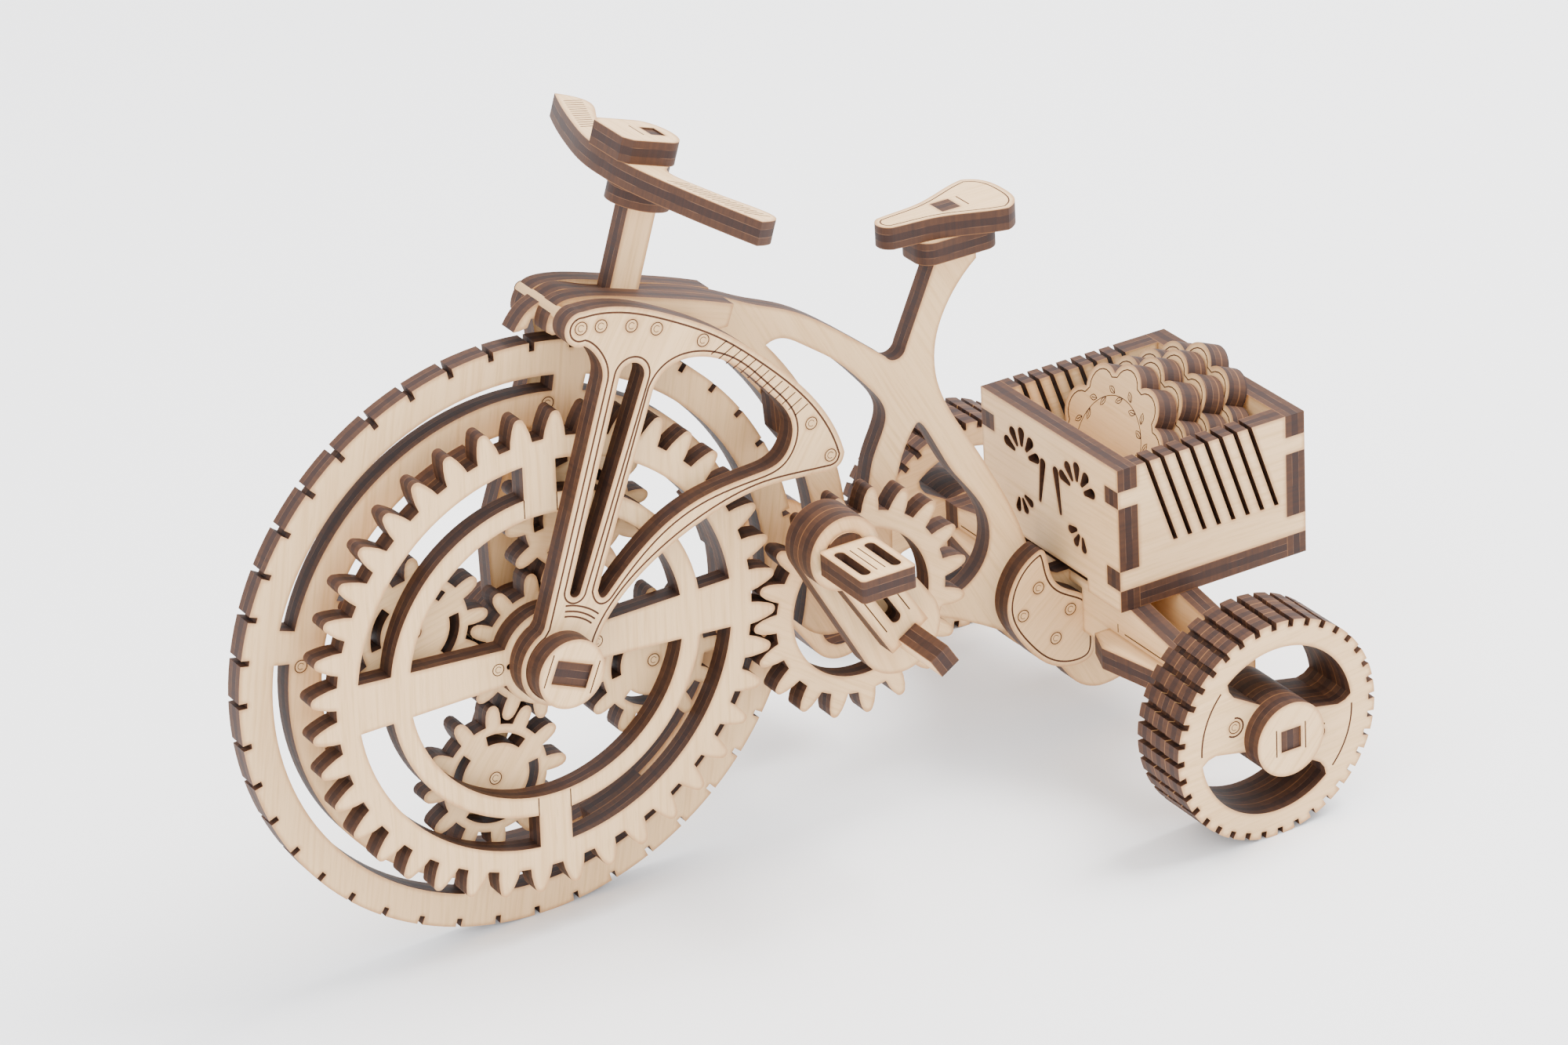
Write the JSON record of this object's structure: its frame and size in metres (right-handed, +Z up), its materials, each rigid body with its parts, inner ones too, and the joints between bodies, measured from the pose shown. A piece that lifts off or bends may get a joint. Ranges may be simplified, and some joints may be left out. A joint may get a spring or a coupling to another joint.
{
  "type": "mechanical plywood tricycle model",
  "caption": "Laser-cut plywood model of a tricycle with a geared front wheel, turning pedals, saddle, winged handlebar and a rear basket of scalloped discs.",
  "frame": {"origin": "centre of the front wheel's axle, on the middle plane", "axes": "+X forward, +Y to the rider's left along the axles, +Z up"},
  "size_m": [0.1952, 0.116, 0.1357],
  "materials": {
    "birch_ply": "bare birch plywood, laser-darkened edges",
    "pin_birch": "bare round birch pins"
  },
  "bodies": {
    "frame": {"frame_plate": "birch_ply", "corner_spacers": "birch_ply", "fork_pins": "pin_birch", "cheek_pins": "pin_birch", "front_axle": "birch_ply", "hub_bushes": "birch_ply", "handlebar_stem": "birch_ply", "handlebar": "birch_ply", "stem_block": "birch_ply", "stem_disc": "birch_ply", "saddle": "birch_ply", "saddle_spacer": "birch_ply", "bracket_front": "birch_ply", "bracket_rear": "birch_ply", "bracket_shelves": "birch_ply", "axle_hangers": "birch_ply", "basket_front": "birch_ply", "basket_back": "birch_ply", "basket_floor": "birch_ply", "basket_discs": "birch_ply", "cheek_left": "birch_ply", "hub_cap_left": "birch_ply", "basket_side_left": "birch_ply", "cheek_right": "birch_ply", "hub_cap_right": "birch_ply", "basket_side_right": "birch_ply", "fork": "birch_ply", "head_plate": "birch_ply", "head_filler": "birch_ply", "stay": "birch_ply", "sun_gear": "birch_ply"},
    "front_wheel": {"tyre": "birch_ply", "planet_spacers": "birch_ply", "wheel_pins": "pin_birch", "ring_gear": "birch_ply"},
    "drive": {"pedal_axle": "birch_ply", "drive_gear": "birch_ply", "crank_left": "birch_ply", "crank_right": "birch_ply"},
    "pedal_left": {"pedal_left": "birch_ply"},
    "pedal_right": {"pedal_right": "birch_ply"},
    "rear_wheels": {"rear_axle": "birch_ply", "rear_wheel_pins": "pin_birch", "rear_wheel_left": "birch_ply", "rear_wheel_right": "birch_ply", "rear_cap_left": "birch_ply", "rear_cap_right": "birch_ply"},
    "planet_1": {"planet_gear_1": "birch_ply"},
    "planet_2": {"planet_gear_2": "birch_ply"},
    "planet_3": {"planet_gear_3": "birch_ply"},
    "planet_4": {"planet_gear_4": "birch_ply"}
  },
  "joints": [
    {"name": "front_wheel_spin", "type": "hinge", "parent": "frame", "child": "front_wheel", "pos_m": [0, 0, 0], "axis": [0, 1, 0], "continuous": true},
    {"name": "drive_spin", "type": "hinge", "parent": "frame", "child": "drive", "pos_m": [-0.0597, 0, -0.0091], "axis": [0, 1, 0], "continuous": true},
    {"name": "rear_wheels_spin", "type": "hinge", "parent": "frame", "child": "rear_wheels", "pos_m": [-0.1134, 0, -0.0318], "axis": [0, 1, 0], "continuous": true},
    {"name": "pedal_left_spin", "type": "hinge", "parent": "drive", "child": "pedal_left", "pos_m": [-0.04761, 0, 0.01047], "axis": [0, 1, 0], "continuous": true},
    {"name": "pedal_right_spin", "type": "hinge", "parent": "drive", "child": "pedal_right", "pos_m": [-0.07179, 0, -0.02867], "axis": [0, 1, 0], "continuous": true},
    {"name": "planet_1_spin", "type": "hinge", "parent": "front_wheel", "child": "planet_1", "pos_m": [-0.00941, 0, 0.02153], "axis": [0, 1, 0], "continuous": true},
    {"name": "planet_2_spin", "type": "hinge", "parent": "front_wheel", "child": "planet_2", "pos_m": [0.02153, 0, 0.00941], "axis": [0, 1, 0], "continuous": true},
    {"name": "planet_3_spin", "type": "hinge", "parent": "front_wheel", "child": "planet_3", "pos_m": [0.00941, 0, -0.02153], "axis": [0, 1, 0], "continuous": true},
    {"name": "planet_4_spin", "type": "hinge", "parent": "front_wheel", "child": "planet_4", "pos_m": [-0.02153, 0, -0.00941], "axis": [0, 1, 0], "continuous": true}
  ],
  "couplings": [
    {"joint": "drive_spin", "follows": "front_wheel_spin", "ratio": -2.1053},
    {"joint": "planet_1_spin", "follows": "front_wheel_spin", "ratio": 1},
    {"joint": "planet_2_spin", "follows": "front_wheel_spin", "ratio": 1},
    {"joint": "planet_3_spin", "follows": "front_wheel_spin", "ratio": 1},
    {"joint": "planet_4_spin", "follows": "front_wheel_spin", "ratio": 1}
  ]
}
